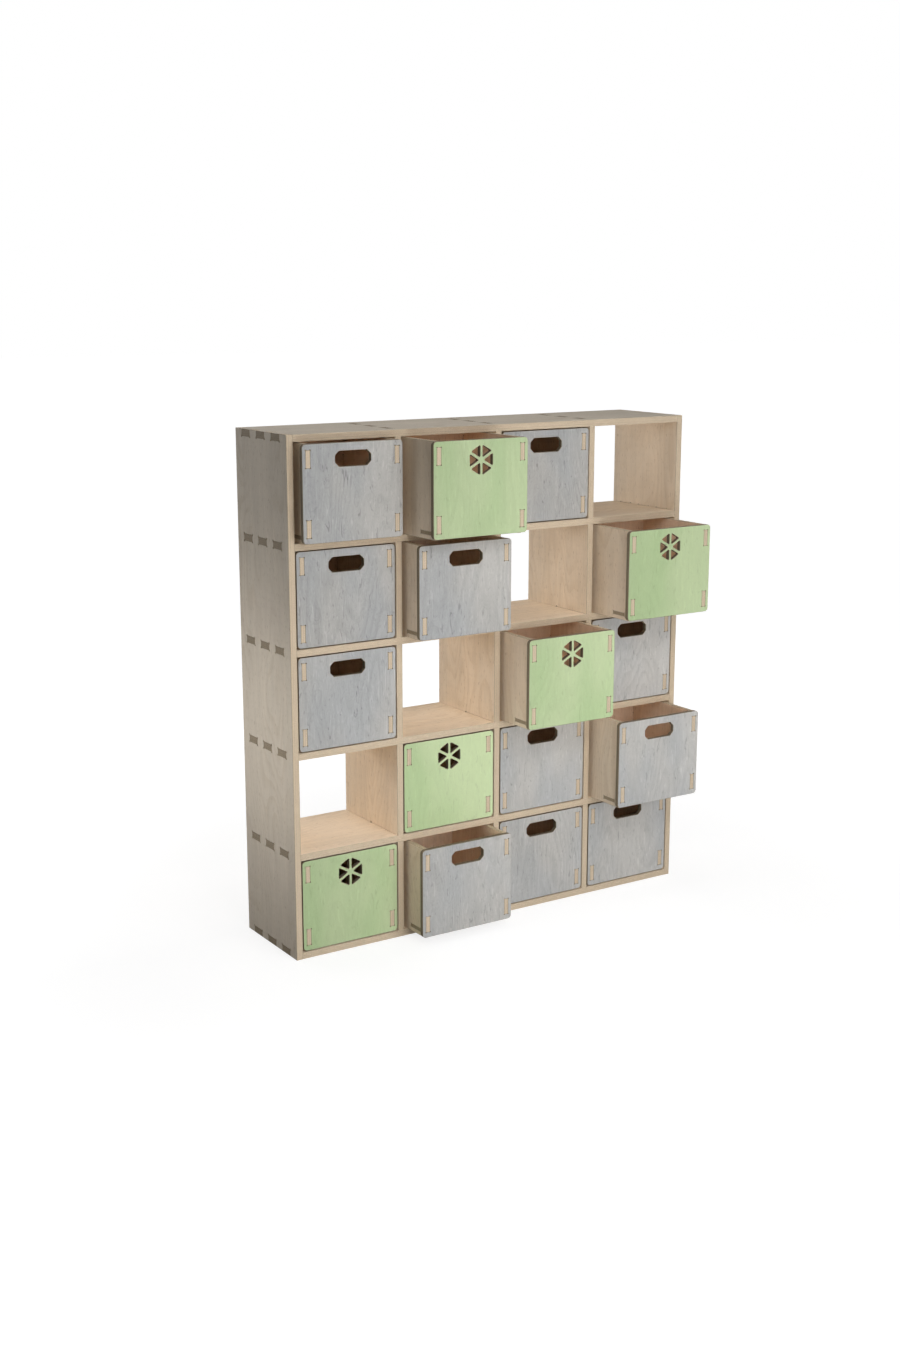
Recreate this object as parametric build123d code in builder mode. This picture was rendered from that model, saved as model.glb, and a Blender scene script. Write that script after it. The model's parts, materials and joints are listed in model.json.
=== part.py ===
from build123d import *
import os

os.makedirs("parts", exist_ok=True)

# An open plywood shelf of equal cells, most of them holding a loose drawer
# Lengths are millimetres, Z is up, the open front faces minus Y
# The origin is the middle of the underside of the case

# What each cell holds, a line for each row from the top, a letter for each cell from the left
HAND_HOLE = "h"
WHEEL_VENT = "v"
OPEN_CELL = "o"
layout = ("hvho", "hhov", "hovh", "ovhh", "vhhh")

# How far each drawer is pulled out, as a share of its depth, for row and column
pull_shares = {
    (1, 1): 0.15,
    (1, 2): 0.54,
    (2, 2): 0.29,
    (2, 4): 0.57,
    (3, 3): 0.48,
    (4, 4): 0.48,
    (5, 2): 0.33,
}

# Case
cell_width = 290.0
cell_height = 250.0
case_depth = 280.0
case_board = 18.0

# Case joints
joint_clearance = 0.1
case_tenon_length = 45.0
case_tenon_count = 3
case_relief_radius = 2.5

# Drawer boards
drawer_board = 12.0
drawer_back_gap = 4.0
front_gap = 3.0
front_overhang = 10.0
front_corner_radius = 10.0
glide_gap = 0.3

# Drawer joints
drawer_tenon_length = 43.0
drawer_tenon_margin = 15.0
drawer_relief_radius = 1.5

# Drawer floor
floor_board = 9.0
floor_lift = 11.0
floor_tenon_length = 50.0
floor_tenon_margin = 15.0

# Hand hole
hand_hole_width = 102.0
hand_hole_height = 39.0
hand_hole_drop = 20.0
hand_hole_corner_cut = 11.0
hand_hole_corner_radius = 4.0

# Wheel vent
vent_radius = 40.0
vent_drop = 51.5
vent_spoke = 7.0
vent_corner_radius = 2.5
vent_side_count = 6

# Case places worked out from the sizes
row_count = len(layout)
column_count = len(layout[0])
column_pitch = cell_width + case_board
row_pitch = cell_height + case_board
inner_width = column_count * column_pitch - case_board
inner_height = row_count * row_pitch - case_board
case_width = inner_width + 2 * case_board
case_height = inner_height + 2 * case_board
mortise_board = case_board + 2 * joint_clearance
mortise_length = case_tenon_length + 2 * joint_clearance
tenon_pitch = (case_depth + case_tenon_length) / (case_tenon_count + 1)
tenon_ys = [(index - (case_tenon_count - 1) / 2) * tenon_pitch for index in range(case_tenon_count)]
cell_xs = [(index - (column_count - 1) / 2) * column_pitch for index in range(column_count)]
divider_xs = [x + column_pitch / 2 for x in cell_xs[:-1]]
cell_floor_zs = [case_height - case_board - cell_height - index * row_pitch for index in range(row_count)]
shelf_zs = [z - case_board / 2 for z in cell_floor_zs[:-1]]
end_panel_zs = (case_board / 2, case_height - case_board / 2)
side_xs = ((inner_width + case_board) / -2, (inner_width + case_board) / 2)

# Drawer places worked out from the sizes
drawer_depth = case_depth - drawer_back_gap
front_width = cell_width - 2 * front_gap
front_height = cell_height - 2 * front_gap
box_width = front_width - 2 * front_overhang
box_inner_width = box_width - 2 * drawer_board
box_inner_depth = drawer_depth - 2 * drawer_board
wall_x = (box_width - drawer_board) / 2
wall_height = front_gap + front_height - glide_gap
drawer_tenon_z = (front_height - drawer_tenon_length) / 2 - drawer_tenon_margin
floor_tenon_y = (box_inner_depth - floor_tenon_length) / 2 - floor_tenon_margin


def plane_at(plane, x, y, z):
    """Gives a plane turned like the given one, with its origin at a place."""
    return Plane(origin=(x, y, z), x_dir=plane.x_dir, z_dir=plane.z_dir)


def relieved_mortise(length, width, relief_radius):
    """Cuts a closed mortise, with a round relief milled at each corner."""
    Rectangle(length, width, mode=Mode.SUBTRACT)
    with GridLocations(length, width, 2, 2):
        Circle(relief_radius, mode=Mode.SUBTRACT)


def side_outline():
    """Draws a case side, its mortises for the shelves and its end notches for the top and bottom."""
    Rectangle(case_depth, case_height, align=(Align.CENTER, Align.MIN))
    with Locations(*[(y, z) for y in tenon_ys for z in shelf_zs]):
        relieved_mortise(mortise_length, mortise_board, case_relief_radius)
    with Locations(*[(y, z) for y in tenon_ys for z in end_panel_zs]):
        Rectangle(mortise_length, mortise_board, mode=Mode.SUBTRACT)
    notch_floor_zs = (mortise_board - joint_clearance, case_height - mortise_board + joint_clearance)
    notch_corner_ys = [y + side * mortise_length / 2 for y in tenon_ys for side in (-1, 1)]
    with Locations(*[(y, z) for y in notch_corner_ys for z in notch_floor_zs]):
        Circle(case_relief_radius, mode=Mode.SUBTRACT)


def level_outline():
    """Draws a level board between the sides, with through tenons at both ends."""
    Rectangle(inner_width, case_depth)
    with Locations(*[(x, y) for x in side_xs for y in tenon_ys]):
        Rectangle(case_board, case_tenon_length)


def end_board_outline():
    """Draws the outline and wall mortises that the front and the back of a drawer share."""
    RectangleRounded(front_width, front_height, front_corner_radius)
    with Locations(*[(x, z) for x in (-wall_x, wall_x) for z in (-drawer_tenon_z, drawer_tenon_z)]):
        mortise_width = drawer_board + 2 * joint_clearance
        relieved_mortise(mortise_width, drawer_tenon_length + 2 * joint_clearance, drawer_relief_radius)


def hand_hole():
    """Cuts the hand hole near the top of a drawer front, with its corners cut off and eased."""
    with BuildSketch(mode=Mode.PRIVATE) as hole:
        Rectangle(hand_hole_width, hand_hole_height)
        chamfer(vertices(), hand_hole_corner_cut)
        fillet(vertices(), hand_hole_corner_radius)
    with Locations((0, front_height / 2 - hand_hole_drop - hand_hole_height / 2)):
        add(hole.sketch, mode=Mode.SUBTRACT)


def wheel_vent():
    """Cuts the sectors between the spokes of a wheel near the top of a drawer front."""
    vent_centre = (0, front_height / 2 - vent_drop)
    half_sector_angle = 180 / vent_side_count
    with Locations(vent_centre):
        RegularPolygon(vent_radius, vent_side_count, rotation=half_sector_angle, mode=Mode.SUBTRACT)
        with PolarLocations(0, vent_side_count // 2, start_angle=half_sector_angle, angular_range=180):
            Rectangle(2 * vent_radius, vent_spoke)
    sector_corners = vertices().filter_by(lambda corner: corner.distance_to(vent_centre) < vent_radius)
    fillet(sector_corners, vent_corner_radius)


# Sides of the case
for name, side_x in zip(("left_side", "right_side"), side_xs):
    with BuildPart() as case_side:
        with BuildSketch(Plane.YZ.offset(side_x - case_board / 2)):
            side_outline()
        extrude(amount=case_board)
    case_side.part.label = name
    export_step(case_side.part, f"parts/{name}.step")

# Top and bottom of the case
for name, panel_z in zip(("bottom_panel", "top_panel"), end_panel_zs):
    with BuildPart() as end_panel:
        with BuildSketch(Plane.XY.offset(panel_z - case_board / 2)):
            level_outline()
            with Locations(*[(x, y) for x in divider_xs for y in tenon_ys]):
                relieved_mortise(mortise_board, mortise_length, case_relief_radius)
        extrude(amount=case_board)
    end_panel.part.label = name
    export_step(end_panel.part, f"parts/{name}.step")

# Shelves, slotted from the back for the dividers
for number, shelf_z in enumerate(shelf_zs, start=1):
    name = f"shelf_{number}"
    with BuildPart() as shelf:
        with BuildSketch(Plane.XY.offset(shelf_z - case_board / 2)):
            level_outline()
            with Locations(*[(x, -joint_clearance) for x in divider_xs]):
                slot_depth = case_depth / 2 + joint_clearance
                Rectangle(mortise_board, slot_depth, align=(Align.CENTER, Align.MIN), mode=Mode.SUBTRACT)
                with GridLocations(mortise_board, 0, 2, 1):
                    Circle(case_relief_radius, mode=Mode.SUBTRACT)
        extrude(amount=case_board)
    shelf.part.label = name
    export_step(shelf.part, f"parts/{name}.step")

# Dividers, slotted from the front for the shelves, with tenons up and down
for number, divider_x in enumerate(divider_xs, start=1):
    name = f"divider_{number}"
    with BuildPart() as divider:
        with BuildSketch(Plane.YZ.offset(divider_x - case_board / 2)):
            with Locations((0, case_height / 2)):
                Rectangle(case_depth, inner_height)
            with Locations(*[(y, z) for y in tenon_ys for z in end_panel_zs]):
                Rectangle(case_tenon_length, case_board)
            with Locations(*[(joint_clearance, z) for z in shelf_zs]):
                slot_depth = case_depth / 2 + joint_clearance
                Rectangle(slot_depth, mortise_board, align=(Align.MAX, Align.CENTER), mode=Mode.SUBTRACT)
                with GridLocations(0, mortise_board, 1, 2):
                    Circle(case_relief_radius, mode=Mode.SUBTRACT)
        extrude(amount=case_board)
    divider.part.label = name
    export_step(divider.part, f"parts/{name}.step")

# Drawers, each a front, a pair of walls, and a back with a floor
for row, kinds in enumerate(layout, start=1):
    for column, kind in enumerate(kinds, start=1):
        if kind == OPEN_CELL:
            continue
        drawer_name = f"drawer_r{row}c{column}"
        pull = pull_shares.get((row, column), 0) * drawer_depth
        cell_x = cell_xs[column - 1]
        cell_floor_z = cell_floor_zs[row - 1]
        front_y = -case_depth / 2 - pull
        middle_y = front_y + drawer_depth / 2
        middle_z = cell_floor_z + front_gap + front_height / 2
        wall_base_z = cell_floor_z + glide_gap

        # Front, with its hand hole or wheel vent
        with BuildPart() as drawer_front:
            with BuildSketch(plane_at(Plane.XZ, cell_x, front_y + drawer_board, middle_z)):
                end_board_outline()
                if kind == HAND_HOLE:
                    hand_hole()
                elif kind == WHEEL_VENT:
                    wheel_vent()
            extrude(amount=drawer_board)
        drawer_front.part.label = f"{drawer_name}_front"
        export_step(drawer_front.part, f"parts/{drawer_name}_front.step")

        # Walls, tenoned through the front and the back, with mortises for the floor
        with BuildPart() as drawer_walls:
            for side in (-1, 1):
                wall_face_x = cell_x + side * wall_x - drawer_board / 2
                with BuildSketch(plane_at(Plane.YZ, wall_face_x, middle_y, middle_z)):
                    with Locations((0, front_height / 2)):
                        Rectangle(box_inner_depth, wall_height, align=(Align.CENTER, Align.MAX))
                    with GridLocations(drawer_depth - drawer_board, 2 * drawer_tenon_z, 2, 2):
                        Rectangle(drawer_board, drawer_tenon_length)
                    floor_middle_z = wall_base_z + floor_lift + floor_board / 2 - middle_z
                    with Locations((-floor_tenon_y, floor_middle_z), (floor_tenon_y, floor_middle_z)):
                        floor_mortise_length = floor_tenon_length + 2 * joint_clearance
                        floor_mortise_width = floor_board + 2 * joint_clearance
                        relieved_mortise(floor_mortise_length, floor_mortise_width, drawer_relief_radius)
                extrude(amount=drawer_board)
        drawer_walls.part.label = f"{drawer_name}_walls"
        export_step(drawer_walls.part, f"parts/{drawer_name}_walls.step")

        # Back, with the same outline as the front, and the floor tenoned through the walls
        with BuildPart() as drawer_back_and_floor:
            with BuildSketch(plane_at(Plane.XZ, cell_x, front_y + drawer_depth, middle_z)):
                end_board_outline()
            extrude(amount=drawer_board)
            with BuildSketch(plane_at(Plane.XY, cell_x, middle_y, wall_base_z + floor_lift)):
                Rectangle(box_inner_width, box_inner_depth - 2 * joint_clearance)
                with GridLocations(2 * wall_x, 2 * floor_tenon_y, 2, 2):
                    Rectangle(drawer_board, floor_tenon_length)
            extrude(amount=floor_board)
        drawer_back_and_floor.part.label = f"{drawer_name}_back_and_floor"
        export_step(drawer_back_and_floor.part, f"parts/{drawer_name}_back_and_floor.step")
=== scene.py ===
import json
import math
import random
from typing import NamedTuple

import bmesh
import bpy
from bpy.props import FloatProperty, FloatVectorProperty, IntProperty, PointerProperty
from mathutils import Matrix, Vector


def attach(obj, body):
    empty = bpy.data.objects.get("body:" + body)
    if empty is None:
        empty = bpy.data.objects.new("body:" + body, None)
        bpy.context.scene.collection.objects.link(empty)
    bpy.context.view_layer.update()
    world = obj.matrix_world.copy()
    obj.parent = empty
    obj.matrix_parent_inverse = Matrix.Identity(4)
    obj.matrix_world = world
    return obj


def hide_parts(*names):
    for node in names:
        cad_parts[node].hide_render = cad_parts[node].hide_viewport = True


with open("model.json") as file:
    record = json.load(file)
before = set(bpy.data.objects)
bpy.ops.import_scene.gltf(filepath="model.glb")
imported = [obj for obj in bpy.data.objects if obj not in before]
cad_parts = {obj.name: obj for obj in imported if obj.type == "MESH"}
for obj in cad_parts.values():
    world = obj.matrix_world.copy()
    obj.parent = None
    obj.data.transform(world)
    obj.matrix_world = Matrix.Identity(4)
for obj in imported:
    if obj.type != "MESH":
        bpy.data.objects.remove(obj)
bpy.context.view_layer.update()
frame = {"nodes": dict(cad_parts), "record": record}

bl_info = {
    "name": "Plywood Grid Shelf",
    "version": (1, 0, 0),
    "blender": (4, 5, 0),
    "location": "3D View > Sidebar > Shelf",
    "description": "Finishes the boards of a plywood grid shelf with loose drawers, in a studio",
    "category": "Object",
}


class Pattern(NamedTuple):
    """Noise over a board: how finely it changes across and along the grain, and its make-up."""

    across: float
    along: float
    detail: float = 2.0
    roughness: float = 0.5
    distortion: float = 0.0


class Ramp(NamedTuple):
    """Smooth change from one number to another between two limits."""

    low: float
    high: float
    start: float = 0.0
    end: float = 1.0


class SoftLamp(NamedTuple):
    """A lamp's place, its target, its width and height, and the spread of its light in degrees."""

    place: tuple
    target: tuple
    size: tuple
    spread: float


class Finish(NamedTuple):
    """How the boards of a node are finished.

    The outer side of a board, -1 or 1, is given for each axis through its thickness. Where none are
    given, it is the side that faces away from the middle of the node.
    """

    materials: tuple
    batch: int
    level_grain: int
    # Axes along which the facing edges take the dark plies: partly darker end grain, partly painted
    # shade
    dark_axes: tuple
    outsides: dict | None


# The photograph's height and focal length, and the longer side of the camera's film
PHOTO_HEIGHT_PX = 1350
FOCAL_LENGTH_PX = 1694.4
FILM_SIDE_MM = 36.0

# Numbers of the axes
X, Y, Z = range(3)

# Which of a piece's materials a face takes
VENEER, PALE_EDGE, GRAIN_AND_SHADE_EDGE, OUTSIDE = range(4)

# Least share of its normal along an axis that makes a side one of a board's two faces, and that
# makes an edge face that way
FACING_SHARE = 0.995
EDGE_FACING_SHARE = 0.35

# Vertices closer than this many metres are merged, sides that meet at less than the first angle are
# made one, and edges that turn by more than the second are shown sharp
MERGE_DISTANCE = 0.000002
FLAT_ANGLE = math.radians(0.2)
SHARP_ANGLE = math.radians(20)

# How far apart boards are cut from the same endless veneer, in metres
VENEER_SPREAD = 40.0

WHITE = (1.0, 1.0, 1.0, 1.0)

# The part of its range from 0 to 1 in which most of a noise lies
NOISE_RANGE = (0.25, 0.75)

# Figure of birch: the swell's steps are the growth lines, and the flecks are cut out of the specks
BIRCH_PATTERNS = {
    "swell": Pattern(4.5, 1.1, roughness=0.42, distortion=0.15),
    "strength": Pattern(7.0, 2.4),
    "bands": Pattern(60.0, 2.2, detail=4.0, roughness=0.6, distortion=0.2),
    "fibres": Pattern(800.0, 20.0, roughness=0.6),
    "clouds": Pattern(10.0, 3.0, detail=3.0, roughness=0.55),
    "curl": Pattern(14.0, 75.0),
    "specks": Pattern(330.0, 52.0, detail=1.0),
}

# How far bare birch swings to either side of its mean tone, and the tone of its fibres
BIRCH_SWINGS = {"bands": 0.03, "clouds": 0.04, "curl": 0.012}
FIBRE_TONE = Ramp(*NOISE_RANGE, 0.965, 1.055)

# Growth lines in a full swell, where late wood rises and ends in each, and how much it shows
GROWTH_LINES = 26.0
LATE_WOOD_RISE = Ramp(0.3, 0.88)
LATE_WOOD_END = Ramp(0.92, 1.0, 1.0, 0.0)
GROWTH_STRENGTH = Ramp(0.3, 0.7, 0.2, 1.0)
GROWTH_COVER = 0.3

# How flecks are cut out of the specks, how much they show, and what makes up the relief
FLECK_CUT = Ramp(0.7, 0.78)
FLECK_COVER = 0.6
FIBRE_RELIEF = 0.6
FLECK_RELIEF = 0.4

# Layers of plywood, which are mapped in plies across an edge and in metres along it
PLY_PATTERNS = {
    "ripple": Pattern(0.0, 9.0),
    "pores": Pattern(2.6, 900.0, roughness=0.7),
    "grain": Pattern(1.4, 45.0, detail=3.0, roughness=0.6),
}

# How far the layers ripple, in plies, the tones in and between them, and the glue by its distance
PLY_RIPPLE = 0.22
LONG_PLY_TONE = Ramp(*NOISE_RANGE, 0.93, 1.04)
END_PLY_TONE = Ramp(0.3, 0.7, 0.8, 1.1)
LAYER_TONE = Ramp(0.0, 1.0, 0.93, 1.05)
GLUE_COVER = Ramp(0.03, 0.13, 0.75, 0.0)
PORE_RELIEF = 0.5
GLUE_RELIEF = 0.6

# Wash of a stain: the lines follow the curls, and wisps and scars are cut out of their own patterns
STAIN_PATTERNS = {
    "warmth": Pattern(5.0, 2.4),
    "clouds": Pattern(16.0, 7.0, detail=3.0, roughness=0.55),
    "runs": Pattern(170.0, 17.0, detail=3.0, roughness=0.6, distortion=0.6),
    "pores": Pattern(460.0, 40.0, roughness=0.6),
    "curls": Pattern(34.0, 15.0, distortion=1.6),
    "wisps": Pattern(170.0, 22.0, distortion=0.9),
    "scars": Pattern(120.0, 24.0, distortion=1.1),
}

# How far patterns swing the stain's tone, lines in a full curl, and painted light across a board
STAIN_SWINGS = {"clouds": 0.13, "runs": 0.09, "pores": 0.06}
CURL_LINES = 5.0
WARMTH_CUT = Ramp(0.32, 0.68)
# Painted light: each front grows warmer and paler from its left edge to its right
PAINTED_LIGHT_WARMTH = 0.16
PAINTED_LIGHT_TONE = 0.12

# Marks in a stain: how each is cut out of its pattern, and how much paler or darker it makes it
CURL_CORES = (Ramp(0.0, 0.1, 1.0, 0.0), -0.055)
CURL_GAPS = (Ramp(0.42, 0.5), 0.045)
WISPS = (Ramp(0.6, 0.74), 0.1)
SCARS = (Ramp(0.64, 0.76), -0.18)
STAINED_GROWTH = -0.06
STAINED_FLECKS = -0.1

# Roughness from early to late wood and of edges, and depth of the relief in metres
VENEER_ROUGHNESS = Ramp(0.0, 1.0, 0.7, 0.8)
STAIN_ROUGHNESS = Ramp(0.0, 1.0, 0.6, 0.7)
EDGE_ROUGHNESS = 0.75
VENEER_RELIEF = 0.00012
STAIN_RELIEF = 0.00014
EDGE_RELIEF = 0.0001

# How strongly unvarnished wood mirrors its surroundings, where 0.5 is a plastic
WOOD_GLOSS = 0.2

# The soft lamps by the names of their powers in the studio's settings
LAMPS = {
    "front_lamp": SoftLamp((0.6, -4.2, 1.4), (0.0, 0.0, 0.6), (4.0, 2.2), 180),
    "near_lamp": SoftLamp((-0.2, -1.9, 0.5), (0.0, -0.1, 0.4), (1.8, 0.5), 180),
    "high_lamp": SoftLamp((-0.4, -2.6, 2.6), (0.0, -0.1, 0.5), (2.0, 0.8), 180),
    "top_lamp": SoftLamp((-0.2, -0.3, 3.6), (0.0, 0.0, 1.3), (1.2, 0.6), 90),
    "right_lamp": SoftLamp((3.4, -2.2, 2.2), (0.0, 0.0, 0.6), (1.5, 1.2), 180),
    "back_lamp": SoftLamp((-0.3, 2.4, 1.5), (0.0, 0.0, 0.6), (2.0, 0.6), 180),
    "back_left_lamp": SoftLamp((-1.75, 2.0, 1.1), (0.0, 0.0, 0.5), (1.1, 0.6), 180),
    "left_lamp": SoftLamp((-2.1, 0.0, 0.55), (-0.625, 0.0, 0.57), (0.5, 0.3), 42),
    "side_lamp": SoftLamp((3.4, 0.05, 1.0), (0.625, 0.0, 0.66), (0.5, 1.2), 60),
}


def linear(channel):
    """Turns one 8 bit display channel into a linear one, by the usual display curve."""
    share = channel / 255
    return share / 12.92 if share <= 0.04045 else ((share + 0.055) / 1.055) ** 2.4


def shade(red, green, blue):
    """Gives the linear colour of an 8 bit display colour."""
    return tuple(linear(channel) for channel in (red, green, blue))


def opaque(colour):
    """Adds a full alpha to a colour."""
    return (*colour, 1.0)


def colour_prop(name, description, red, green, blue):
    """Makes a colour property from an 8 bit display colour."""
    return FloatVectorProperty(
        name=name, description=description, subtype="COLOR", size=3, min=0, max=1,
        default=shade(red, green, blue),
    )


def power_prop(name, place, watts):
    """Makes a property for the power of a lamp."""
    return FloatProperty(
        name=name, description=f"Power of the soft lamp {place}", default=watts, min=0,
        subtype="POWER", unit="POWER",
    )


class BoardShape(bpy.types.PropertyGroup):
    """Sizes of the boards that the frame doesn't give."""

    arris_width: FloatProperty(
        name="Arris", description="Width of the sanded arris round each face of a board",
        default=0.0006, min=0.0001, max=0.002, subtype="DISTANCE", unit="LENGTH",
    )
    arris_steps: IntProperty(
        name="Arris steps", description="Number of facets across a sanded arris",
        default=2, min=1, max=4,
    )
    ply_thickness: FloatProperty(
        name="Ply", description="Usual thickness of one ply",
        default=0.0014, min=0.0005, max=0.004, subtype="DISTANCE", unit="LENGTH",
    )


class BirchFinish(bpy.types.PropertyGroup):
    """Colours and tones of the bare birch plywood."""

    veneer: colour_prop("Veneer", "Mean colour of the inner faces of the case", 240, 222, 198)
    # The drawers' wall veneer is a darker copy of the case's veneer, as painted shade on the
    # drawers' outer walls
    wall_veneer: colour_prop(
        "Wall veneer", "Mean colour of the outer faces of the drawers' walls", 229, 213, 191
    )
    # The drawers' inner veneer is a brighter copy, as painted light inside the drawers
    inner_veneer: colour_prop(
        "Inner veneer", "Mean colour of the inner faces of the drawers", 247, 221, 196
    )
    # The outer veneer is a darker copy of the case's veneer, as painted shade on the outside of the
    # case
    outer_veneer: colour_prop(
        "Outer veneer", "Mean colour of the outer faces of the case", 199, 188, 172
    )
    late_wood: FloatVectorProperty(
        name="Late wood", description="Share of the veneer's colour that its growth lines keep",
        subtype="COLOR", size=3, min=0, max=1, default=(0.80, 0.74, 0.66),
    )
    fleck: FloatVectorProperty(
        name="Fleck", description="Share of the veneer's colour that its short flecks keep",
        subtype="COLOR", size=3, min=0, max=1, default=(0.58, 0.50, 0.42),
    )
    long_ply: colour_prop("Long ply", "Colour of a ply cut along its grain", 225, 209, 185)
    end_ply: colour_prop("End ply", "Colour of a ply cut across its grain", 196, 176, 149)
    glue: colour_prop("Glue line", "Colour of the glue between two plies", 132, 106, 78)
    # The dark plies are partly darker end grain and partly painted shade on the edges that face
    # sideways and on the fronts' edges in the gaps
    dark_long_ply: colour_prop(
        "Dark long ply", "Colour of a long ply on a darkened edge", 156, 143, 122
    )
    dark_end_ply: colour_prop(
        "Dark end ply", "Colour of an end ply on a darkened edge", 133, 118, 98
    )
    dark_glue: colour_prop("Dark glue line", "Colour of the glue on a darkened edge", 98, 82, 63)
    drawer_edge_gain: FloatProperty(
        name="Drawer edge gain",
        description="How much paler than the dark edges those of the drawers' boxes are",
        default=1.35, min=1, max=2,
    )
    # The fronts' dark edges are darker still, as painted shade in the gaps round the closed drawers
    front_edge_gain: FloatProperty(
        name="Front edge gain",
        description="How much of the dark edges' colour the edges of the fronts keep",
        default=0.8, min=0.2, max=2,
    )
    case_batch: IntProperty(
        name="Case batch", description="Batch of veneer that the case is cut from",
        default=6358, min=0,
    )
    case_swing: FloatProperty(
        name="Case swing", description="How far the tone of a case board may lie from the mean",
        default=0.14, min=0, max=0.5,
    )
    drawer_batch: IntProperty(
        name="Drawer batch", description="Batch of veneer that the drawers' boxes are cut from",
        default=1, min=0,
    )
    drawer_swing: FloatProperty(
        name="Drawer swing",
        description="How far a drawer board's tone, or the case's outside, may lie from the mean",
        default=0.04, min=0, max=0.5,
    )


class StainFinish(bpy.types.PropertyGroup):
    """Colours and tones of the stained drawer fronts."""

    grey_cool: colour_prop("Cool grey", "Grey stain where it lies thick", 170, 171, 171)
    grey_warm: colour_prop("Warm grey", "Grey stain where the wood warms it", 181, 179, 175)
    green_cool: colour_prop("Cool green", "Green stain where it lies thick", 175, 196, 149)
    green_warm: colour_prop("Warm green", "Green stain where the wood warms it", 187, 203, 160)
    grey_unevenness: FloatProperty(
        name="Grey unevenness", description="How far the grey wash varies over a front",
        default=1.5, min=0, max=3,
    )
    green_unevenness: FloatProperty(
        name="Green unevenness", description="How far the green wash varies over a front",
        default=0.6, min=0, max=3,
    )
    front_batch: IntProperty(
        name="Front batch", description="Batch of veneer that the fronts are cut from",
        default=59026, min=0,
    )
    front_swing: FloatProperty(
        name="Front swing", description="How far the tone of a front may lie from the mean",
        default=0.12, min=0, max=0.5,
    )


class StudioSetup(bpy.types.PropertyGroup):
    """Camera, lamps and floor."""

    camera_place: FloatVectorProperty(
        name="Camera", description="Place of the camera",
        subtype="TRANSLATION", unit="LENGTH", size=3, default=(-2.527, -3.831, 1.697),
    )
    camera_turn: FloatProperty(
        name="Turn", description="Turn of the camera towards the right of straight on",
        default=math.radians(32.76), subtype="ANGLE", unit="ROTATION",
    )
    camera_drop: FloatProperty(
        name="Drop", description="Tilt of the camera below level",
        default=math.radians(12.75), subtype="ANGLE", unit="ROTATION",
    )
    room_light: FloatProperty(
        name="Room light", description="Strength of the light from all round", default=0.065, min=0
    )
    front_lamp: power_prop("Front lamp", "in front", 50.0)
    near_lamp: power_prop("Near lamp", "low and close in front", 13.5)
    high_lamp: power_prop("High lamp", "high in front", 28.0)
    top_lamp: power_prop("Top lamp", "overhead", 3.6)
    right_lamp: power_prop("Right lamp", "at the right", 6.2)
    back_lamp: power_prop("Back lamp", "behind the open cells", 20.0)
    back_left_lamp: power_prop("Back left lamp", "behind at the left", 16.0)
    left_lamp: power_prop("Left lamp", "low at the left", 0.62)
    side_lamp: power_prop("Side lamp", "square on to the right side", 6.0)
    floor_tone: FloatProperty(
        name="Floor tone", description="Share of light that the floor throws back",
        default=0.45, min=0, max=1,
    )
    floor_lift: FloatProperty(
        name="Floor lift", description="Share of white that the camera sees in the floor's shadows",
        default=0.8, min=0, max=1,
    )
    floor_shade: FloatProperty(
        name="Floor shade",
        description="Share of the light on the floor that the camera sees on top of the lift",
        default=0.28, min=0, max=1,
    )
    shadow_reach: FloatProperty(
        name="Shadow reach",
        description="How far from the middle the floor begins to fade to plain white",
        default=0.9, min=0, subtype="DISTANCE", unit="LENGTH",
    )
    shadow_end: FloatProperty(
        name="Shadow end", description="How far from the middle the floor is plain white",
        default=2.3, min=0.1, subtype="DISTANCE", unit="LENGTH",
    )
    floor_reach: FloatProperty(
        name="Floor reach", description="Half the width of the floor",
        default=40.0, min=1, subtype="DISTANCE", unit="LENGTH",
    )


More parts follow.
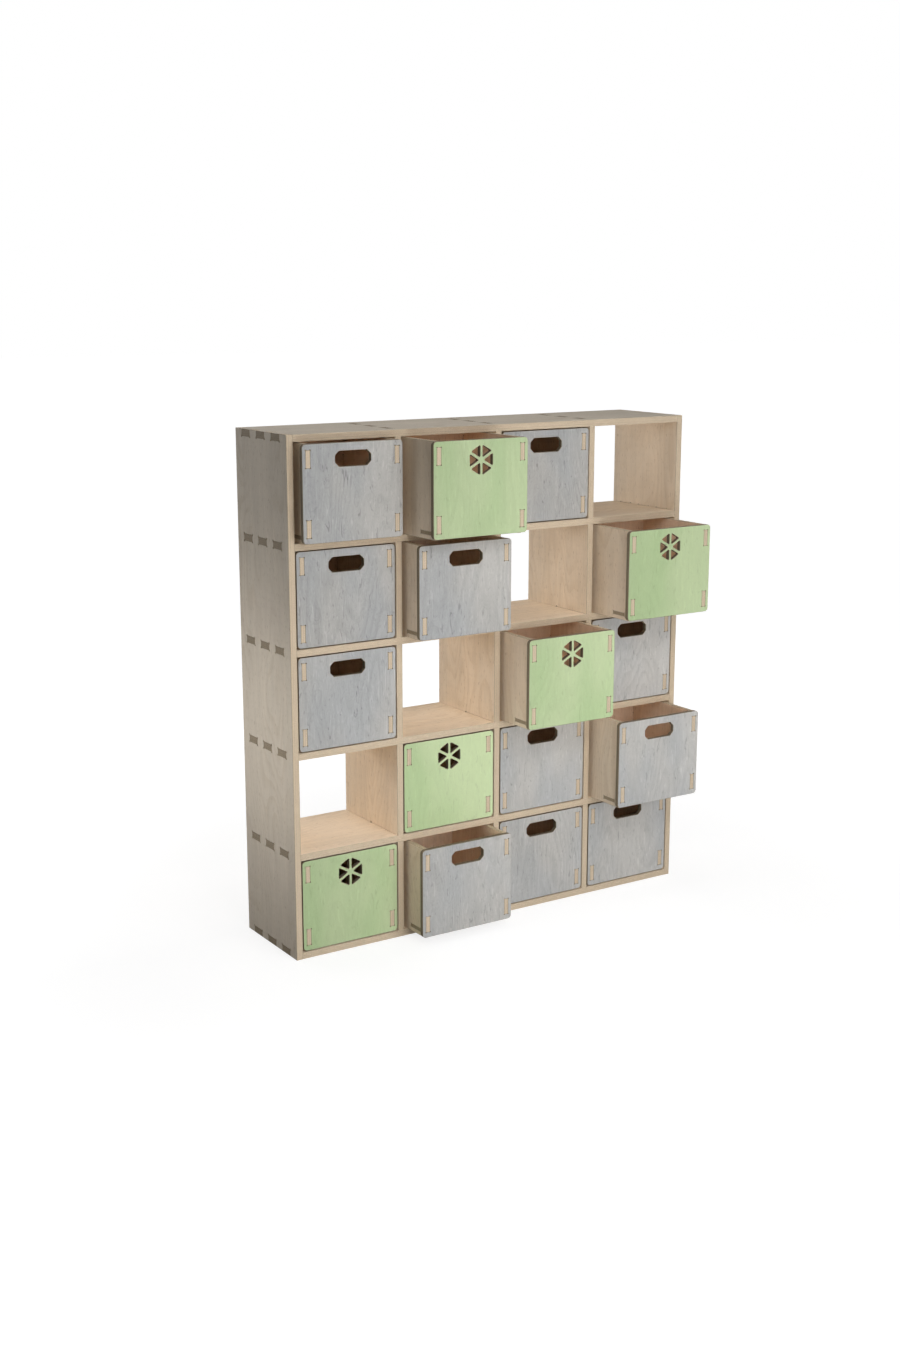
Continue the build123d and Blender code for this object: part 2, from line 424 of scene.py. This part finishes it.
class Bench:
    """A shader tree on which nodes are placed and joined."""

    def __init__(self, tree):
        self.tree = tree

    def fill(self, node, inputs):
        """Fills a node's inputs, given by name or number, or joins other nodes to them."""
        for socket, value in inputs.items():
            if isinstance(value, bpy.types.NodeSocket):
                self.tree.links.new(value, node.inputs[socket])
            else:
                node.inputs[socket].default_value = value

    def place(self, kind, settings=None, inputs=None):
        """Adds a node, sets its options and fills its inputs."""
        node = self.tree.nodes.new(kind)
        for option, value in (settings or {}).items():
            setattr(node, option, value)
        self.fill(node, inputs or {})
        return node

    def group(self, tree, inputs):
        """Adds a shader group and gives its outputs."""
        return self.place("ShaderNodeGroup", {"node_tree": tree}, inputs).outputs

    def maths(self, operation, first, second=0.0):
        """Works out a number from one or two others."""
        settings = {"operation": operation}
        return self.place("ShaderNodeMath", settings, {0: first, 1: second}).outputs[0]

    def product(self, *factors):
        """Multiplies numbers."""
        result = factors[0]
        for factor in factors[1:]:
            result = self.maths("MULTIPLY", result, factor)
        return result

    def total(self, terms):
        """Adds up numbers, each times its share."""
        result = 0.0
        for value, share in terms:
            result = self.maths("ADD", result, self.product(value, share))
        return result

    def centred(self, value):
        """Moves a number from 0 to 1 so that its middle lies at 0."""
        return self.maths("SUBTRACT", value, 0.5)

    def from_whole(self, value):
        """Tells how far a number lies from the nearest whole one."""
        return self.maths("PINGPONG", value, 0.5)

    def first_part(self, vector):
        """Gives the first number of a place."""
        return self.place("ShaderNodeSeparateXYZ", inputs={0: vector}).outputs["X"]

    def noise(self, board, pattern):
        """Lays a noise over a board and gives its value from 0 to 1."""
        scale = (pattern.across, pattern.along, 1.0)
        settings = {"operation": "MULTIPLY"}
        stretched = self.place("ShaderNodeVectorMath", settings, {0: board, 1: scale}).outputs[0]
        inputs = {
            "Vector": stretched, "Scale": 1.0, "Detail": pattern.detail,
            "Roughness": pattern.roughness, "Distortion": pattern.distortion,
        }
        return self.place("ShaderNodeTexNoise", {"noise_dimensions": "2D"}, inputs).outputs["Fac"]

    def noises(self, board, patterns):
        """Lays each of the named noises over a board."""
        return {name: self.noise(board, pattern) for name, pattern in patterns.items()}

    def ramp(self, value, ramp):
        """Turns a number into another by a smooth ramp."""
        inputs = {
            "Value": value, "From Min": ramp.low, "From Max": ramp.high,
            "To Min": ramp.start, "To Max": ramp.end,
        }
        settings = {"interpolation_type": "SMOOTHSTEP"}
        return self.place("ShaderNodeMapRange", settings, inputs).outputs["Result"]

    def mix(self, factor, first, second, blend="MIX"):
        """Mixes two colours."""
        settings = {"data_type": "RGBA", "blend_type": blend}
        inputs = {"Factor": factor, 6: first, 7: second}
        return self.place("ShaderNodeMix", settings, inputs).outputs[2]

    def darken(self, colour, level):
        """Multiplies a colour by a number."""
        settings = {"operation": "SCALE"}
        return self.place("ShaderNodeVectorMath", settings, {0: colour, "Scale": level}).outputs[0]


def open_group(name, inputs, outputs):
    """Starts a shader group with named sockets, and gives its bench, inputs and output node."""
    tree = bpy.data.node_groups.new(name, "ShaderNodeTree")
    kinds = {"colour": "NodeSocketColor", "number": "NodeSocketFloat", "place": "NodeSocketVector"}
    for direction, sockets in (("INPUT", inputs), ("OUTPUT", outputs)):
        for socket, kind in sockets.items():
            tree.interface.new_socket(name=socket, in_out=direction, socket_type=kinds[kind])
    bench = Bench(tree)
    given = bench.place("NodeGroupInput").outputs
    result = bench.place("NodeGroupOutput")
    return bench, given, result


def birch_grain_group():
    """Builds the figure of rotary cut birch: growth lines, clouds, fibres and flecks."""
    name = "birch_grain"
    if name in bpy.data.node_groups:
        return bpy.data.node_groups[name]
    bench, given, result = open_group(
        name,
        {
            "Board": "place", "Tone": "number", "Wood": "colour", "Late wood": "colour",
            "Fleck": "colour",
        },
        {"Colour": "colour", "Growth": "number", "Flecks": "number", "Height": "number"},
    )
    noise = bench.noises(given["Board"], BIRCH_PATTERNS)
    line = bench.maths("FRACT", bench.product(noise["swell"], GROWTH_LINES))
    growth = bench.product(
        bench.ramp(line, LATE_WOOD_RISE),
        bench.ramp(line, LATE_WOOD_END),
        bench.ramp(noise["strength"], GROWTH_STRENGTH),
    )
    flecks = bench.ramp(noise["specks"], FLECK_CUT)
    colour = bench.mix(bench.product(growth, GROWTH_COVER), WHITE, given["Late wood"])
    colour = bench.mix(bench.product(flecks, FLECK_COVER), colour, given["Fleck"])
    colour = bench.mix(1.0, colour, given["Wood"], blend="MULTIPLY")
    levels = [bench.ramp(noise["fibres"], FIBRE_TONE)]
    for kind, swing in BIRCH_SWINGS.items():
        levels.append(bench.ramp(noise[kind], Ramp(*NOISE_RANGE, 1 - swing, 1 + swing)))
    level = bench.product(*levels, given["Tone"])
    fibre_height = bench.product(noise["fibres"], FIBRE_RELIEF)
    fleck_depth = bench.product(flecks, FLECK_RELIEF)
    bench.fill(result, {
        "Colour": bench.darken(colour, level),
        "Growth": growth,
        "Flecks": flecks,
        "Height": bench.maths("SUBTRACT", fibre_height, fleck_depth),
    })
    return bench.tree


def ply_layers_group():
    """Builds the edge of plywood: plies cut along and across the grain, with glue between them."""
    name = "ply_layers"
    if name in bpy.data.node_groups:
        return bpy.data.node_groups[name]
    bench, given, result = open_group(
        name,
        {"Board": "place", "Long ply": "colour", "End ply": "colour", "Glue": "colour"},
        {"Colour": "colour", "Height": "number"},
    )
    noise = bench.noises(given["Board"], PLY_PATTERNS)
    ripple = bench.product(bench.centred(noise["ripple"]), PLY_RIPPLE)
    plies = bench.maths("ADD", bench.first_part(given["Board"]), ripple)
    layer = bench.maths("FLOOR", plies)
    is_end_ply = bench.maths("MODULO", layer, 2.0)
    layer_noise = bench.place("ShaderNodeTexWhiteNoise", {"noise_dimensions": "1D"}, {"W": layer})
    long_colour = bench.darken(given["Long ply"], bench.ramp(noise["grain"], LONG_PLY_TONE))
    end_colour = bench.darken(given["End ply"], bench.ramp(noise["pores"], END_PLY_TONE))
    colour = bench.mix(is_end_ply, long_colour, end_colour)
    colour = bench.darken(colour, bench.ramp(layer_noise.outputs["Value"], LAYER_TONE))
    glue = bench.ramp(bench.from_whole(plies), GLUE_COVER)
    pore_height = bench.product(noise["pores"], PORE_RELIEF)
    glue_depth = bench.product(glue, GLUE_RELIEF)
    bench.fill(result, {
        "Colour": bench.mix(glue, colour, given["Glue"]),
        "Height": bench.maths("SUBTRACT", pore_height, glue_depth),
    })
    return bench.tree


def stain_wash_group():
    """Builds a thin stain over wood: cool where it lies thick, streaked and with marks, and paler
    and warmer towards a board's right edge as painted light.
    """
    name = "stain_wash"
    if name in bpy.data.node_groups:
        return bpy.data.node_groups[name]
    bench, given, result = open_group(
        name,
        {
            "Board": "place", "Span": "place", "Tone": "number", "Growth": "number",
            "Flecks": "number", "Cool": "colour", "Warm": "colour", "Unevenness": "number",
        },
        {"Colour": "colour"},
    )
    noise = bench.noises(given["Board"], STAIN_PATTERNS)
    # Painted light that brightens and warms the front towards its right edge
    painted_light_slope = bench.centred(bench.first_part(given["Span"]))
    warmth = bench.maths("ADD", noise["warmth"], bench.product(painted_light_slope, PAINTED_LIGHT_WARMTH))
    curls = bench.from_whole(bench.product(noise["curls"], CURL_LINES))
    marks = (
        (curls, *CURL_CORES),
        (curls, *CURL_GAPS),
        (noise["wisps"], *WISPS),
        (noise["scars"], *SCARS),
    )
    change = bench.total([
        *((bench.centred(noise[kind]), share) for kind, share in STAIN_SWINGS.items()),
        *((bench.ramp(value, cut), share) for value, cut, share in marks),
        (given["Growth"], STAINED_GROWTH),
        (given["Flecks"], STAINED_FLECKS),
    ])
    level = bench.maths("ADD", bench.product(change, given["Unevenness"]), given["Tone"])
    level = bench.maths("ADD", level, bench.product(painted_light_slope, PAINTED_LIGHT_TONE))
    colour = bench.mix(bench.ramp(warmth, WARMTH_CUT), given["Cool"], given["Warm"])
    bench.fill(result, {"Colour": bench.darken(colour, level)})
    return bench.tree


def start_material(name):
    """Makes an empty material and gives its bench, or None where the material is already made."""
    if name in bpy.data.materials:
        return None
    material = bpy.data.materials.new(name)
    material.use_nodes = True
    material.node_tree.nodes.clear()
    return Bench(material.node_tree)


def finish_surface(bench, colour, roughness, height, depth):
    """Joins colour, roughness and relief to a wood surface."""
    relief = {"Strength": 1.0, "Distance": depth, "Height": height}
    bump = bench.place("ShaderNodeBump", inputs=relief)
    inputs = {
        "Base Color": colour, "Roughness": roughness, "Specular IOR Level": WOOD_GLOSS,
        "Normal": bump.outputs["Normal"],
    }
    surface = bench.place("ShaderNodeBsdfPrincipled", inputs=inputs)
    bench.place("ShaderNodeOutputMaterial", inputs={"Surface": surface.outputs["BSDF"]})


def board_map(bench, name="board"):
    """Reads one of a board's maps: place in metres or plies, share of the board, or tone."""
    return bench.place("ShaderNodeUVMap", {"uv_map": name}).outputs["UV"]


def board_tone(bench, swing):
    """Gives the board's own tone round 1, which may swing to either side."""
    return bench.maths("ADD", bench.product(bench.first_part(board_map(bench, "tone")), swing), 1.0)


def add_grain(bench, birch, board, tone, wood):
    """Adds the figure of birch in the given mean colour."""
    return bench.group(birch_grain_group(), {
        "Board": board, "Tone": tone, "Wood": opaque(wood), "Late wood": opaque(birch.late_wood),
        "Fleck": opaque(birch.fleck),
    })


def veneer(scene, name, wood, swing):
    """Bare birch face veneer of the given mean colour."""
    bench = start_material(name)
    if bench:
        tone = board_tone(bench, swing)
        grain = add_grain(bench, scene.shelf_birch, board_map(bench), tone, wood)
        roughness = bench.ramp(grain["Growth"], VENEER_ROUGHNESS)
        finish_surface(bench, grain["Colour"], roughness, grain["Height"], VENEER_RELIEF)
    return bpy.data.materials[name]


def ply_edge(name, long_ply, end_ply, glue):
    """Edge of the plywood with its plies and glue lines."""
    bench = start_material(name)
    if bench:
        layers = bench.group(ply_layers_group(), {
            "Board": board_map(bench), "Long ply": opaque(long_ply), "End ply": opaque(end_ply),
            "Glue": opaque(glue),
        })
        finish_surface(bench, layers["Colour"], EDGE_ROUGHNESS, layers["Height"], EDGE_RELIEF)
    return bpy.data.materials[name]


def pale_edge(scene):
    """Edge of a board that the cutter left pale."""
    birch = scene.shelf_birch
    return ply_edge("pale_edge", birch.long_ply, birch.end_ply, birch.glue)


def grain_and_shade_edge(scene, name, gain):
    """Edge of a board with darker plies, partly darker end grain and partly painted shade, with the
    given gain on its colours.
    """
    birch = scene.shelf_birch
    colours = (birch.dark_long_ply, birch.dark_end_ply, birch.dark_glue)
    return ply_edge(name, *([channel * gain for channel in colour] for colour in colours))


def case_materials(scene):
    """Materials of a case board: inner veneer, pale edge, dark edge and outer veneer; the outer
    veneer is a darker copy of the inner one, as painted shade.
    """
    birch = scene.shelf_birch
    return (
        veneer(scene, "birch_veneer", birch.veneer, birch.case_swing),
        pale_edge(scene),
        grain_and_shade_edge(scene, "dark_edge", 1.0),
        veneer(scene, "outer_veneer", birch.outer_veneer, birch.drawer_swing),
    )


def box_materials(scene):
    """Materials of a drawer's box: inner veneer, pale edge, dark edge and outer veneer; the inner
    veneer is a brighter copy as painted light, and the outer one a darker copy as painted shade.
    """
    birch = scene.shelf_birch
    return (
        veneer(scene, "inner_veneer", birch.inner_veneer, birch.drawer_swing),
        pale_edge(scene),
        grain_and_shade_edge(scene, "drawer_edge", birch.drawer_edge_gain),
        veneer(scene, "wall_veneer", birch.wall_veneer, birch.drawer_swing),
    )


def front_materials(scene, outside):
    """Materials of a drawer's front: inner veneer, pale edge, dark edge and stained outer face; the
    inner veneer is a brighter copy as painted light, and the dark edge is darker still as painted
    shade in the gaps.
    """
    birch = scene.shelf_birch
    return (
        veneer(scene, "inner_veneer", birch.inner_veneer, birch.drawer_swing),
        pale_edge(scene),
        grain_and_shade_edge(scene, "front_edge", birch.front_edge_gain),
        outside,
    )


def stained_veneer(scene, name, cool, warm, unevenness):
    """Birch veneer under a thin coloured stain."""
    bench = start_material(name)
    if bench:
        board = board_map(bench)
        tone = board_tone(bench, scene.shelf_stain.front_swing)
        grain = add_grain(bench, scene.shelf_birch, board, tone, cool)
        wash = bench.group(stain_wash_group(), {
            "Board": board, "Span": board_map(bench, "span"), "Tone": tone,
            "Growth": grain["Growth"], "Flecks": grain["Flecks"], "Cool": opaque(cool),
            "Warm": opaque(warm), "Unevenness": unevenness,
        })
        roughness = bench.ramp(grain["Growth"], STAIN_ROUGHNESS)
        finish_surface(bench, wash["Colour"], roughness, grain["Height"], STAIN_RELIEF)
    return bpy.data.materials[name]


def refresh(bm):
    """Brings the normals and the numbers of a mesh's faces up to date."""
    bm.normal_update()
    bm.faces.index_update()


def islands(bm):
    """Splits a mesh into its separate boards, each a list of faces."""
    left = set(bm.faces)
    boards = []
    while left:
        reached = {left.pop()}
        found = set(reached)
        while reached:
            face = reached.pop()
            beside = {other for edge in face.edges for other in edge.link_faces} & left
            left -= beside
            found |= beside
            reached |= beside
        boards.append(sorted(found, key=lambda face: face.index))
    return sorted(boards, key=lambda faces: faces[0].index)


def board_box(faces):
    """Lowest and highest corner of a board."""
    places = [vertex.co for face in faces for vertex in face.verts]
    low = Vector([min(place[axis] for place in places) for axis in (X, Y, Z)])
    high = Vector([max(place[axis] for place in places) for axis in (X, Y, Z)])
    return low, high


def thin_axis(low, high):
    """Axis through the thickness of a board."""
    size = high - low
    return min((X, Y, Z), key=lambda axis: size[axis])


def is_rim(edge, thin):
    """Tells whether an edge lies between a face of the board and its side."""
    if len(edge.link_faces) != 2:
        return False
    shares = sorted(abs(face.normal[thin]) for face in edge.link_faces)
    return shares[0] < 1 - FACING_SHARE and shares[1] > FACING_SHARE


def flat_boards(node_name):
    """Copies the boards of a node, with each flat side as one face."""
    bm = bmesh.new()
    bm.from_mesh(frame["nodes"][node_name].data)
    bmesh.ops.remove_doubles(bm, verts=bm.verts, dist=MERGE_DISTANCE)
    bmesh.ops.dissolve_limit(
        bm, angle_limit=FLAT_ANGLE, use_dissolve_boundaries=False, verts=bm.verts, edges=bm.edges,
        delimit=set(),
    )
    refresh(bm)
    return bm


def sand_arrises(bm, shape):
    """Takes the sharpness off the rims round both faces of each board."""
    rims = set()
    for faces in islands(bm):
        thin = thin_axis(*board_box(faces))
        rims |= {edge for face in faces for edge in face.edges if is_rim(edge, thin)}
    bmesh.ops.bevel(
        bm, geom=sorted(rims, key=lambda edge: edge.index), offset=shape.arris_width,
        offset_type="OFFSET", segments=shape.arris_steps, profile=0.5, affect="EDGES",
        clamp_overlap=False, material=-1,
    )
    refresh(bm)


def outward_side(faces, thin, middle):
    """Tells to which side of the middle of its node a board lies, as -1 or 1."""
    low, high = board_box(faces)
    return math.copysign(1, (low + high)[thin] / 2 - middle[thin])


def board_material(normal, thin, dark_axes, outside):
    """Chooses the material of a face by the way it faces; the dark edges are partly darker end
    grain and partly painted shade.
    """
    if abs(normal[thin]) > FACING_SHARE:
        is_outside = outside is not None and normal[thin] * outside > 0
        return OUTSIDE if is_outside else VENEER
    is_grain_and_shade = any(abs(normal[axis]) > EDGE_FACING_SHARE for axis in dark_axes)
    return GRAIN_AND_SHADE_EDGE if is_grain_and_shade else PALE_EDGE


def map_board(faces, maps, ply_thickness, grain, dark_axes, outside, cutter):
    """Gives the faces of a board their material, and maps their place, their share and tone."""
    low, high = board_box(faces)
    thin = thin_axis(low, high)
    size = high - low
    ply_count = 2 * round((size[thin] / ply_thickness - 1) / 2) + 1
    cross = X + Y + Z - thin - grain
    shift = Vector((cutter.uniform(0, VENEER_SPREAD), cutter.uniform(0, VENEER_SPREAD)))
    tone = cutter.uniform(-1, 1)
    for face in faces:
        normal = face.normal
        face.smooth = True
        face.material_index = board_material(normal, thin, dark_axes, outside)
        is_face = face.material_index in (VENEER, OUTSIDE)
        runs_along = grain if abs(normal[cross]) > abs(normal[grain]) else cross
        for loop in face.loops:
            place = loop.vert.co
            share = [(place[axis] - low[axis]) / size[axis] for axis in (X, Y, Z)]
            loop[maps["span"]].uv = (share[cross], share[grain])
            loop[maps["tone"]].uv = (tone, 0)
            if is_face:
                loop[maps["board"]].uv = (place[cross] + shift.x, place[grain] + shift.y)
            else:
                loop[maps["board"]].uv = (share[thin] * ply_count, place[runs_along] + shift.y)


def map_boards(bm, node_name, ply_thickness, finish):
    """Cuts each board of a node from its own stretch of the veneer."""
    maps = {name: bm.loops.layers.uv.new(name) for name in ("board", "span", "tone")}
    middle = sum(board_box(bm.faces), Vector()) / 2
    cutter = random.Random(f"{finish.batch} {node_name}")
    for faces in islands(bm):
        thin = thin_axis(*board_box(faces))
        grain = finish.level_grain if thin == Z else Z
        if finish.outsides is None:
            outside = outward_side(faces, thin, middle)
        else:
            outside = finish.outsides.get(thin)
        map_board(faces, maps, ply_thickness, grain, finish.dark_axes, outside, cutter)


def body_of(node_name):
    """Body that a node rides on."""
    bodies = frame["record"]["behaviour"]["bodies"]
    return next(name for name, nodes in bodies.items() if node_name in nodes)


def slot_of(node_name):
    """Material slot of a node."""
    subparts = frame["record"]["subparts"]
    return next(part["material_slot"] for part in subparts if part["node"] == node_name)


def finish_node(scene, node_name, finish):
    """Makes the finished boards that stand for a node, and rides them on its body."""
    shape = scene.shelf_boards
    bm = flat_boards(node_name)
    sand_arrises(bm, shape)
    map_boards(bm, node_name, shape.ply_thickness, finish)
    mesh = bpy.data.meshes.new(f"{node_name}_board")
    bm.to_mesh(mesh)
    bm.free()
    if "custom_normal" in mesh.attributes:
        mesh.attributes.remove(mesh.attributes["custom_normal"])
    mesh.set_sharp_from_angle(angle=SHARP_ANGLE)
    for material in finish.materials:
        mesh.materials.append(material)
    piece = bpy.data.objects.new(f"{node_name}_board", mesh)
    scene.collection.objects.link(piece)
    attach(piece, body_of(node_name))
    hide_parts(node_name)


def nodes_ending(*endings):
    """Names of the frame's nodes that end in one of the given words."""
    names = sorted(name for name in frame["nodes"] if name.endswith(endings))
    if not names:
        raise RuntimeError(f"the frame has no node that ends in {' or '.join(endings)}")
    return names


class SHELF_OT_case_boards(bpy.types.Operator):
    """Finish the sides, the top and bottom, the shelves and the dividers of the case"""

    bl_idname = "shelf.case_boards"
    bl_label = "Case Boards"

    def execute(self, context):
        scene = context.scene
        # The outer faces of the sides, top and bottom take the darker veneer, as painted shade
        outsides = {
            "left_side": {X: -1}, "right_side": {X: 1}, "top_panel": {Z: 1}, "bottom_panel": {Z: -1}
        }
        names = sorted(name for name in frame["nodes"] if not name.startswith("drawer_"))
        if not names:
            raise RuntimeError("the frame has no case boards")
        plain = Finish(case_materials(scene), scene.shelf_birch.case_batch, X, (X,), {})
        for name in names:
            # Edges facing along these axes take the dark plies: the tenon ends' darker end grain,
            # with painted shade
            dark_axes = (X, Z) if name.startswith("divider") else (X,)
            finish = plain._replace(dark_axes=dark_axes, outsides=outsides.get(name, {}))
            finish_node(scene, name, finish)
        return {"FINISHED"}


class SHELF_OT_drawer_boxes(bpy.types.Operator):
    """Finish the walls, backs and floors of the drawers"""

    bl_idname = "shelf.drawer_boxes"
    bl_label = "Drawer Boxes"

    def execute(self, context):
        scene = context.scene
        finish = Finish(box_materials(scene), scene.shelf_birch.drawer_batch, Y, (X,), None)
        for name in nodes_ending("_walls", "_back_and_floor"):
            finish_node(scene, name, finish)
        return {"FINISHED"}


class SHELF_OT_drawer_fronts(bpy.types.Operator):
    """Finish the stained fronts of the drawers"""

    bl_idname = "shelf.drawer_fronts"
    bl_label = "Drawer Fronts"

    def execute(self, context):
        scene = context.scene
        stain = scene.shelf_stain
        stains = {
            "grey_stain": (stain.grey_cool, stain.grey_warm, stain.grey_unevenness),
            "green_stain": (stain.green_cool, stain.green_warm, stain.green_unevenness),
        }
        for name in nodes_ending("_front"):
            slot = slot_of(name)
            outside = stained_veneer(scene, f"{slot}_wash", *stains[slot])
            materials = front_materials(scene, outside)
            # The fronts' edges facing sideways, up and down take the dark plies, as painted shade
            # in the gaps round them
            finish_node(scene, name, Finish(materials, stain.front_batch, Z, (X, Z), {Y: -1}))
        return {"FINISHED"}


def hang_lamp(scene, name, power, lamp):
    """Hangs a soft lamp that looks at its target."""
    light = bpy.data.lights.new(name, "AREA")
    light.shape = "RECTANGLE"
    light.size, light.size_y = lamp.size
    light.spread = math.radians(lamp.spread)
    light.energy = power
    holder = bpy.data.objects.new(name, light)
    holder.location = lamp.place
    look = Vector(lamp.target) - Vector(lamp.place)
    holder.rotation_euler = look.to_track_quat("-Z", "Y").to_euler()
    holder.visible_camera = False
    scene.collection.objects.link(holder)


def seen_rays(bench):
    """Gives 1 for rays that show a thing straight, in gloss or through glass, and 0 for others."""
    path = bench.place("ShaderNodeLightPath").outputs
    seen = bench.maths("MAXIMUM", path["Is Camera Ray"], path["Is Glossy Ray"])
    return bench.maths("MAXIMUM", seen, path["Is Transmission Ray"])


def floor_material(studio):
    """Floor that lights the shelf as a pale one, and shows its shadow on plain white."""
    bench = start_material("studio_floor")
    plain = bench.place("ShaderNodeBsdfDiffuse", inputs={"Color": opaque((studio.floor_tone,) * 3)})
    thin = bench.place("ShaderNodeBsdfDiffuse", inputs={"Color": opaque((studio.floor_shade,) * 3)})
    place = bench.place("ShaderNodeTexCoord").outputs["Object"]
    distance = bench.place("ShaderNodeVectorMath", {"operation": "LENGTH"}, {0: place})
    fade = Ramp(studio.shadow_reach, studio.shadow_end, studio.floor_lift, 1.0)
    white = bench.ramp(distance.outputs["Value"], fade)
    lift = bench.place("ShaderNodeEmission", inputs={"Strength": white})
    shown = bench.place("ShaderNodeAddShader", inputs={0: thin.outputs[0], 1: lift.outputs[0]})
    inputs = {0: seen_rays(bench), 1: plain.outputs[0], 2: shown.outputs[0]}
    surface = bench.place("ShaderNodeMixShader", inputs=inputs)
    bench.place("ShaderNodeOutputMaterial", inputs={"Surface": surface.outputs[0]})
    return bpy.data.materials["studio_floor"]


class SHELF_OT_studio(bpy.types.Operator):
    """Set the floor, the lamps, the white surroundings and the camera"""

    bl_idname = "shelf.studio"
    bl_label = "Studio"

    def execute(self, context):
        scene = context.scene
        studio = scene.shelf_studio
        self.add_floor(scene, studio)
        self.add_lamps(scene, studio)
        self.add_surroundings(scene, studio)
        self.add_camera(scene, studio)
        scene.view_settings.view_transform = "Standard"
        return {"FINISHED"}

    def add_floor(self, scene, studio):
        """Lays a wide floor under the shelf."""
        bm = bmesh.new()
        bmesh.ops.create_grid(bm, x_segments=1, y_segments=1, size=studio.floor_reach)
        mesh = bpy.data.meshes.new("studio_floor")
        bm.to_mesh(mesh)
        bm.free()
        mesh.materials.append(floor_material(studio))
        floor = bpy.data.objects.new("studio_floor", mesh)
        scene.collection.objects.link(floor)

    def add_lamps(self, scene, studio):
        """Hangs the lamps: most light falls on the open front, and some comes through the cells."""
        for name, lamp in LAMPS.items():
            hang_lamp(scene, name, getattr(studio, name), lamp)

    def add_surroundings(self, scene, studio):
        """Surrounds the stage with even light that looks white."""
        world = bpy.data.worlds.new("white_room")
        world.use_nodes = True
        world.node_tree.nodes.clear()
        bench = Bench(world.node_tree)
        lit, white = (
            bench.place("ShaderNodeBackground", inputs={"Color": WHITE, "Strength": strength})
            for strength in (studio.room_light, 1.0)
        )
        inputs = {0: seen_rays(bench), 1: lit.outputs[0], 2: white.outputs[0]}
        surface = bench.place("ShaderNodeMixShader", inputs=inputs)
        bench.place("ShaderNodeOutputWorld", inputs={"Surface": surface.outputs[0]})
        scene.world = world

    def add_camera(self, scene, studio):
        """Places the camera at the photograph's viewpoint."""
        lens = bpy.data.cameras.new("photo_camera")
        lens.sensor_width = FILM_SIDE_MM
        lens.lens = FOCAL_LENGTH_PX * FILM_SIDE_MM / PHOTO_HEIGHT_PX
        lens.clip_end = 2 * studio.floor_reach
        camera = bpy.data.objects.new("photo_camera", lens)
        camera.location = studio.camera_place
        camera.rotation_euler = (math.pi / 2 - studio.camera_drop, 0, -studio.camera_turn)
        scene.collection.objects.link(camera)
        scene.camera = camera


class SHELF_PT_panel(bpy.types.Panel):
    """Lists the shelf's settings and its operators"""

    bl_idname = "SHELF_PT_panel"
    bl_label = "Plywood Grid Shelf"
    bl_space_type = "VIEW_3D"
    bl_region_type = "UI"
    bl_category = "Shelf"

    def draw(self, context):
        layout = self.layout
        for operator in OPERATORS:
            layout.operator(operator.bl_idname)
        for name in SETTINGS:
            settings = getattr(context.scene, name)
            box = layout.box()
            for setting in settings.__annotations__:
                box.prop(settings, setting)


OPERATORS = (SHELF_OT_case_boards, SHELF_OT_drawer_boxes, SHELF_OT_drawer_fronts, SHELF_OT_studio)
SETTINGS = {
    "shelf_boards": BoardShape,
    "shelf_birch": BirchFinish,
    "shelf_stain": StainFinish,
    "shelf_studio": StudioSetup,
}


def register():
    """Adds the settings, the operators and the panel."""
    for name, group in SETTINGS.items():
        bpy.utils.register_class(group)
        setattr(bpy.types.Scene, name, PointerProperty(type=group))
    for operator in OPERATORS:
        bpy.utils.register_class(operator)
    bpy.utils.register_class(SHELF_PT_panel)


def unregister():
    """Takes the panel, the operators and the settings away again."""
    bpy.utils.unregister_class(SHELF_PT_panel)
    for operator in reversed(OPERATORS):
        bpy.utils.unregister_class(operator)
    for name, group in SETTINGS.items():
        delattr(bpy.types.Scene, name)
        bpy.utils.unregister_class(group)


def write_sizes():
    """Brings the placements of the scene up to date."""
    bpy.context.view_layer.update()


def main():
    """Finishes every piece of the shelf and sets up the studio."""
    register()
    bpy.ops.shelf.case_boards()
    bpy.ops.shelf.drawer_boxes()
    bpy.ops.shelf.drawer_fronts()
    bpy.ops.shelf.studio()
    write_sizes()


if __name__ == "__main__":
    main()
